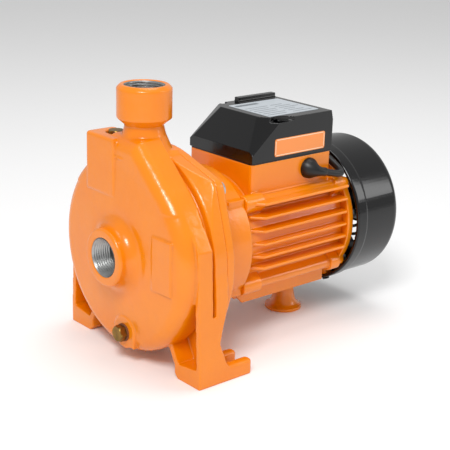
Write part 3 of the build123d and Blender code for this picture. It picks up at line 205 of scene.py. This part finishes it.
# ---------------------------------------------------------------- fittings, motor parts and moulded covers
# Screws, plugs, shaft, seal, bearings and windings are turned, plated or wound parts put together from
# stock; the fan cover, box cover, gland boot and plug are injection mouldings in gloss black or rubber.
def turned_metal(name, tone, roughness, grain, streak):
    """Machined metal with fine tool marks: fine noise in roughness and bump, a little tarnish."""
    material, shader, place = new_material(name)
    tree = material.node_tree
    marks = add_node(material, "ShaderNodeTexNoise", {"Scale": 1 / grain, "Detail": 4.0},
                     [("Vector", place)])
    tarnish = add_node(material, "ShaderNodeTexNoise", {"Scale": 1 / 0.006, "Detail": 3.0},
                       [("Vector", place)])
    shade = add_node(material, "ShaderNodeMix",
                     {"data_type": "RGBA", 6: colour(tone), 7: colour(streak)},
                     [(0, tarnish.outputs["Fac"])])
    tree.links.new(shade.outputs[2], shader.inputs["Base Color"])
    finish = add_node(material, "ShaderNodeMapRange",
                      {"To Min": roughness * 0.7, "To Max": roughness * 1.4},
                      [("Value", marks.outputs["Fac"])])
    tree.links.new(finish.outputs["Result"], shader.inputs["Roughness"])
    relief = add_node(material, "ShaderNodeBump", {"Strength": 0.15, "Distance": 0.0001},
                      [("Height", marks.outputs["Fac"])])
    tree.links.new(relief.outputs["Normal"], shader.inputs["Normal"])
    shader.inputs["Metallic"].default_value = 1.0
    return material


def moulded(name, tone, roughness, grain, depth):
    """Moulded plastic or rubber with the fine texture of its tool."""
    material, shader, place = new_material(name)
    tree = material.node_tree
    texture = add_node(material, "ShaderNodeTexNoise", {"Scale": 1 / grain, "Detail": 3.0},
                       [("Vector", place)])
    finish = add_node(material, "ShaderNodeMapRange",
                      {"To Min": roughness * 0.8, "To Max": roughness * 1.25},
                      [("Value", texture.outputs["Fac"])])
    tree.links.new(finish.outputs["Result"], shader.inputs["Roughness"])
    relief = add_node(material, "ShaderNodeBump", {"Strength": 0.2, "Distance": depth},
                      [("Height", texture.outputs["Fac"])])
    tree.links.new(relief.outputs["Normal"], shader.inputs["Normal"])
    shader.inputs["Base Color"].default_value = colour(tone)
    return material


zinc = turned_metal("zinc_plated_steel", "#C9CBCC", 0.32, 0.0004, "#A9ADB0")
black_steel = turned_metal("black_oxide_steel", "#2A2A2B", 0.38, 0.0004, "#1C1C1D")
stainless = turned_metal("stainless_steel", "#CFCFCE", 0.22, 0.0003, "#B9B9B8")
ground_steel = turned_metal("ground_shaft_steel", "#C2C3C4", 0.2, 0.0003, "#ACAEB0")
bearing_steel = turned_metal("polished_bearing_steel", "#D5D5D6", 0.1, 0.0003, "#C6C7C8")
brass = turned_metal("machined_brass", "#D9B25F", 0.28, 0.0004, "#B88F45")
tarnished_brass = turned_metal("tarnished_brass", "#A8853F", 0.36, 0.0004, "#5C4826")
laminations = turned_metal("stacked_steel_laminations", "#7C8084", 0.45, 0.0005, "#5F6366")
cast_aluminium = turned_metal("die_cast_aluminium", "#D6D8DA", 0.42, 0.0005, "#BCC0C3")
winding_wire = moulded("varnished_copper_winding", "#A14A1E", 0.35, 0.0009, 0.0006)
rubber = moulded("moulded_nitrile_rubber", "#0A0A0A", 0.4, 0.0005, 0.0001)
fibre = moulded("vulcanised_fibre", "#7A4A2E", 0.7, 0.0004, 0.0001)
ceramic = moulded("lapped_alumina_ceramic", "#EFEDE6", 0.15, 0.0003, 0.00002)
carbon = moulded("lapped_carbon", "#1E1F21", 0.3, 0.0003, 0.00002)
grey_plastic = moulded("grey_polyamide", "#5C6066", 0.5, 0.0004, 0.0001)
white_plastic = moulded("white_capacitor_case", "#E4E3DC", 0.3, 0.0006, 0.00005)
black_gloss = moulded("black_gloss_polypropylene", "#020203", 0.13, 0.0007, 0.00004)
lead_sheath = moulded("soft_pvc_sheath", "#0A0A0B", 0.38, 0.0006, 0.0001)

dress(tarnished_brass, "drain_plug", "priming_plug")
dress(fibre, "drain_plug_washer", "priming_plug_washer")
dress(rubber, "casing_o_ring", "seal_seat_cup", "seal_bellows", "water_slinger", "terminal_box_gasket")
dress(zinc, "flange_bolts", "tie_bolts", "terminal_screws", "support_foot_screw", "capacitor_clip")
dress(black_steel, "fan_cover_screws", "terminal_box_screws")
dress(stainless, "impeller_nut", "impeller_washer", "impeller_key", "seal_spring", "wave_washer",
      "fan_circlip")
dress(ground_steel, "motor_shaft")
dress(brass, "impeller", "plug_blades")
dress(ceramic, "seal_seat")
dress(carbon, "seal_face_ring")
dress(laminations, "stator_core", "rotor_core")
dress(cast_aluminium, "rotor_end_rings")
dress(winding_wire, "stator_winding")
dress(black_gloss, "cooling_fan")
dress(grey_plastic, "terminal_block")
dress(white_plastic, "capacitor")
dress(bearing_steel, *[f"{end}_bearing_{part}" for end in ("front", "rear")
                       for part in ("outer_ring", "inner_ring", "balls", "cage")])

# Moulded covers, gland boot and plug: every edge of the tool is slightly rounded.
fan_cowl = cast_copy(["fan_cover"], "moulded_fan_cover", 0.0006, 3, 190000, black_gloss)
box_lid = cast_copy(["terminal_box_cover"], "moulded_terminal_cover", 0.0005, 4, 150000, black_gloss)
gland_boot = cast_copy(["cable_gland"], "moulded_gland_boot", 0.0003, 4, 60000, rubber)
lead_plug = cast_copy(["mains_plug"], "moulded_mains_plug", 0.0004, 4, 60000, lead_sheath)
silver_film = moulded("silver_polyester_label", "#B9C0C6", 0.3, 0.004, 0.00005)
orange_film = moulded("orange_polyester_label", "#F4934A", 0.3, 0.004, 0.00005)
dress(silver_film, "rating_label")
dress(orange_film, "side_label")


# ---------------------------------------------------------------- port threads
# Female G1 threads cut in the bare iron of the suction and outlet bosses, 11 turns to the inch, with a
# bright turned face and a chamfered mouth.
bare_iron = turned_metal("turned_bare_cast_iron", "#C4C5C4", 0.3, 0.0005, "#8E8F8E")
thread_pitch = 0.0254 / 11
thread_length = 0.0185
thread_rows = 72
thread_steps = 96
crest_radius, thread_depth = 0.01515, 0.00125
ring_radius, mouth_radius, mouth_taper = 0.0166, 0.0164, 0.8


def threaded_sleeve(name, origin, along, across):
    """Closed ring with a helical inner thread, its mouth at the origin and its length along an axis."""
    shape = bmesh.new()
    side = along.cross(across)
    threaded = [(thread_length * row / thread_rows, True) for row in range(thread_rows + 1)]
    rings = []
    for station, has_thread in [(0.0, False)] + threaded + [(thread_length, False)]:
        ring = []
        for step in range(thread_steps):
            turn = step / thread_steps
            radius = ring_radius
            if has_thread:
                phase = (station / thread_pitch - turn) % 1.0
                flank = crest_radius + thread_depth * abs(2 * phase - 1)
                radius = max(flank, mouth_radius - station * mouth_taper)
            angle = 2 * math.pi * turn
            around = across * math.cos(angle) + side * math.sin(angle)
            ring.append(shape.verts.new(origin + along * station + around * radius))
        rings.append(ring)
    for ring, after in zip(rings, rings[1:] + rings[:1]):
        for step in range(thread_steps):
            after_step = (step + 1) % thread_steps
            shape.faces.new((ring[step], ring[after_step], after[after_step], after[step]))
    bmesh.ops.recalc_face_normals(shape, faces=shape.faces)
    mesh = bpy.data.meshes.new(name)
    shape.to_mesh(mesh)
    shape.free()
    sleeve = bpy.data.objects.new(name, mesh)
    bpy.context.scene.collection.objects.link(sleeve)
    mesh.materials.append(bare_iron)
    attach(sleeve, "root")


suction_face_x, outlet_face_z = -0.1500, 0.2395
threaded_sleeve("suction_thread", Vector((suction_face_x, 0, shaft_z)), Vector((1, 0, 0)), Vector((0, 1, 0)))
threaded_sleeve("outlet_thread", Vector((outlet_x, 0, outlet_face_z)), Vector((0, 0, -1)), Vector((1, 0, 0)))


# ---------------------------------------------------------------- label printing
# Both labels are polyester film glued on the moulded cover, screen printed with generic marks: rows of
# grey bars on the silver rating label and a pale rim on the orange side label.
def print_bars(name, bars, material):
    """Thin printed bars, each given by its low and high corner, as one piece."""
    shape = bmesh.new()
    for low, high in bars:
        size = [b - a for a, b in zip(low, high)]
        centre = [(a + b) / 2 for a, b in zip(low, high)]
        placed = Matrix.Translation(centre) @ Matrix.Diagonal((*size, 1))
        bmesh.ops.create_cube(shape, size=1.0, matrix=placed)
    mesh = bpy.data.meshes.new(name)
    shape.to_mesh(mesh)
    shape.free()
    piece = bpy.data.objects.new(name, mesh)
    bpy.context.scene.collection.objects.link(piece)
    mesh.materials.append(material)
    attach(piece, "root")


grey_ink = moulded("grey_printing_ink", "#6E757B", 0.4, 0.004, 0.00002)
pale_ink = moulded("pale_printing_ink", "#FBD9B8", 0.4, 0.004, 0.00002)
ink = 0.00004
label_top = 0.2043
left, right, near, far = 0.0050, 0.0670, -0.0330, 0.0230
column, middle = left + 0.003, left + 0.034
bar_height, row_pitch = 0.0012, 0.006
fields = [((column, far - 0.010, label_top), (left + 0.030, far - 0.005, label_top + ink))]
for row in range(6):
    low = near + 0.005 + row * row_pitch
    short_end = left + 0.026 + 0.004 * (row % 2)
    long_end = right - 0.004 - 0.005 * (row % 3)
    for start, end in ((column, short_end), (middle, long_end)):
        fields.append(((start, low, label_top), (end, low + bar_height, label_top + ink)))
print_bars("rating_label_fields", fields, grey_ink)

side_left, side_right, side_low, side_high = 0.0035, 0.0655, 0.1700, 0.1860
side_face = -0.0433
rim, corner_gap = 0.0007, 0.002
rim_bars = []
for low, high in ((side_low + rim, side_low + 2 * rim), (side_high - 2 * rim, side_high - rim)):
    rim_bars.append(((side_left + corner_gap, side_face - ink, low),
                     (side_right - corner_gap, side_face, high)))
for low, high in ((side_left + rim, side_left + 2 * rim), (side_right - 2 * rim, side_right - rim)):
    rim_bars.append(((low, side_face - ink, side_low + corner_gap),
                     (high, side_face, side_high - corner_gap)))
print_bars("side_label_rim", rim_bars, pale_ink)


# ---------------------------------------------------------------- mains lead
# Round three-core PVC lead that leaves the gland beside the terminal box, drops over the far side of
# the motor to the floor and lies there in a neat coil, with the plug beside it.
lead_diameter = 0.0065
lead_radius = lead_diameter / 2
gland_x, gland_y, gland_z = 0.046, -0.043, 0.154
boot_end = (gland_x + 0.012, gland_y - 0.0105, gland_z - 0.0035)
lead_top = 0.15875
route = [boot_end, (gland_x + 0.0230, gland_y - 0.0126, gland_z - 0.0065),
         (gland_x + 0.0335, gland_y - 0.0115, gland_z - 0.0080),
         (gland_x + 0.0380, gland_y - 0.0020, gland_z - 0.0050),
         (gland_x + 0.0375, gland_y + 0.0130, lead_top - 0.0030),
         (gland_x + 0.0370, -0.0130, lead_top + 0.0020), (gland_x + 0.0370, 0.0070, lead_top + 0.0015),
         (gland_x + 0.0375, 0.0270, lead_top), (gland_x + 0.0380, 0.0470, lead_top - 0.0050),
         (gland_x + 0.0385, 0.0665, lead_top - 0.0180), (gland_x + 0.0375, 0.0780, lead_top - 0.0430),
         (gland_x + 0.0355, 0.0815, lead_top - 0.0720), (gland_x + 0.0340, 0.0805, lead_top - 0.1000),
         (gland_x + 0.0335, 0.0815, lead_top - 0.1240), (gland_x + 0.0335, 0.0880, 0.0173),
         (gland_x + 0.0335, 0.1010, 0.0063), (gland_x + 0.0335, 0.1180, lead_radius)]
coil_x, coil_y = 0.1185, 0.150
coil_outer, coil_inner = 0.0390, 0.0325
steps = 16
coil_turns_laid = 4.25
turns = [(coil_outer, 0), (coil_outer, 1), (coil_inner, 1), (coil_inner, 0)]
angle = math.pi
for index in range(int(steps * coil_turns_laid) + 1):
    turn = index / steps
    low, high = min(int(turn), 3), min(int(turn) + 1, 3)
    blend = min(max((turn - low) * 5 - 4, 0), 1) if low < 3 else 0
    radius = turns[low][0] * (1 - blend) + turns[high][0] * blend
    level = turns[low][1] * (1 - blend) + turns[high][1] * blend
    around = angle - 2 * math.pi * turn
    route.append((coil_x + radius * math.cos(around), coil_y + radius * math.sin(around),
                  lead_radius + level * lead_diameter))

line = bpy.data.curves.new("mains_lead_line", "CURVE")
line.dimensions = "3D"
line.bevel_depth = lead_radius
line.bevel_resolution = 5
line.resolution_u = 8
spline = line.splines.new("NURBS")
spline.points.add(len(route) - 1)
for point, place in zip(spline.points, route):
    point.co = (*place, 1)
spline.order_u = 3
spline.use_endpoint_u = True
lead = bpy.data.objects.new("mains_lead_sheath", line)
bpy.context.scene.collection.objects.link(lead)
line.materials.append(lead_sheath)
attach(lead, "root")
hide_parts("mains_lead", "mains_lead_coil")


# ---------------------------------------------------------------- floor, light and camera
# Matt white sweep under plain soft studio light.
floor_mesh = bpy.data.meshes.new("studio_floor")
shape = bmesh.new()
bmesh.ops.create_grid(shape, x_segments=1, y_segments=1, size=6.0)
shape.to_mesh(floor_mesh)
shape.free()
floor = bpy.data.objects.new("studio_floor", floor_mesh)
bpy.context.scene.collection.objects.link(floor)
paper, shader, place = new_material("matt_white_paper")
shader.inputs["Base Color"].default_value = colour("#FCFCFC")
shader.inputs["Roughness"].default_value = 0.9
floor_mesh.materials.append(paper)

world = bpy.data.worlds.new("studio_air")
world.use_nodes = True
world.node_tree.nodes["Background"].inputs["Color"].default_value = (1.0, 1.0, 1.0, 1.0)
world.node_tree.nodes["Background"].inputs["Strength"].default_value = 0.55
bpy.context.scene.world = world
bpy.context.scene.view_settings.view_transform = "Standard"

for name, place, size, power in (("key", (-0.9, -0.7, 1.3), (0.5, 0.5), 15),
                                 ("top", (0.3, 0.1, 1.8), (0.9, 0.9), 8),
                                 ("side", (1.4, -1.2, 0.9), (0.4, 0.9), 4)):
    lamp = bpy.data.lights.new(name + "_softbox", "AREA")
    lamp.shape = "RECTANGLE"
    lamp.size, lamp.size_y = size
    lamp.energy = power
    softbox = bpy.data.objects.new(name + "_softbox", lamp)
    softbox.location = place
    aim = Vector((0, 0, 0.1)) - Vector(place)
    softbox.rotation_euler = aim.to_track_quat("-Z", "Y").to_euler()
    bpy.context.scene.collection.objects.link(softbox)

camera_at = Vector((-0.6520, -0.7294, 0.4133))
camera_aim = Vector((-0.03197, -0.01994, 0.10782))
camera_roll = math.radians(1.66)
forward = (camera_aim - camera_at).normalized()
level_right = forward.cross(Vector((0, 0, 1))).normalized()
level_up = level_right.cross(forward)
right = level_right * math.cos(camera_roll) + level_up * math.sin(camera_roll)
up = level_up * math.cos(camera_roll) - level_right * math.sin(camera_roll)
camera_data = bpy.data.cameras.new("studio_camera")
camera_data.lens = 88.66
camera_data.sensor_width = 36.0
camera = bpy.data.objects.new("studio_camera", camera_data)
camera.matrix_world = Matrix((
    (right.x, up.x, -forward.x, camera_at.x), (right.y, up.y, -forward.y, camera_at.y),
    (right.z, up.z, -forward.z, camera_at.z), (0, 0, 0, 1)))
bpy.context.scene.collection.objects.link(camera)
bpy.context.scene.camera = camera
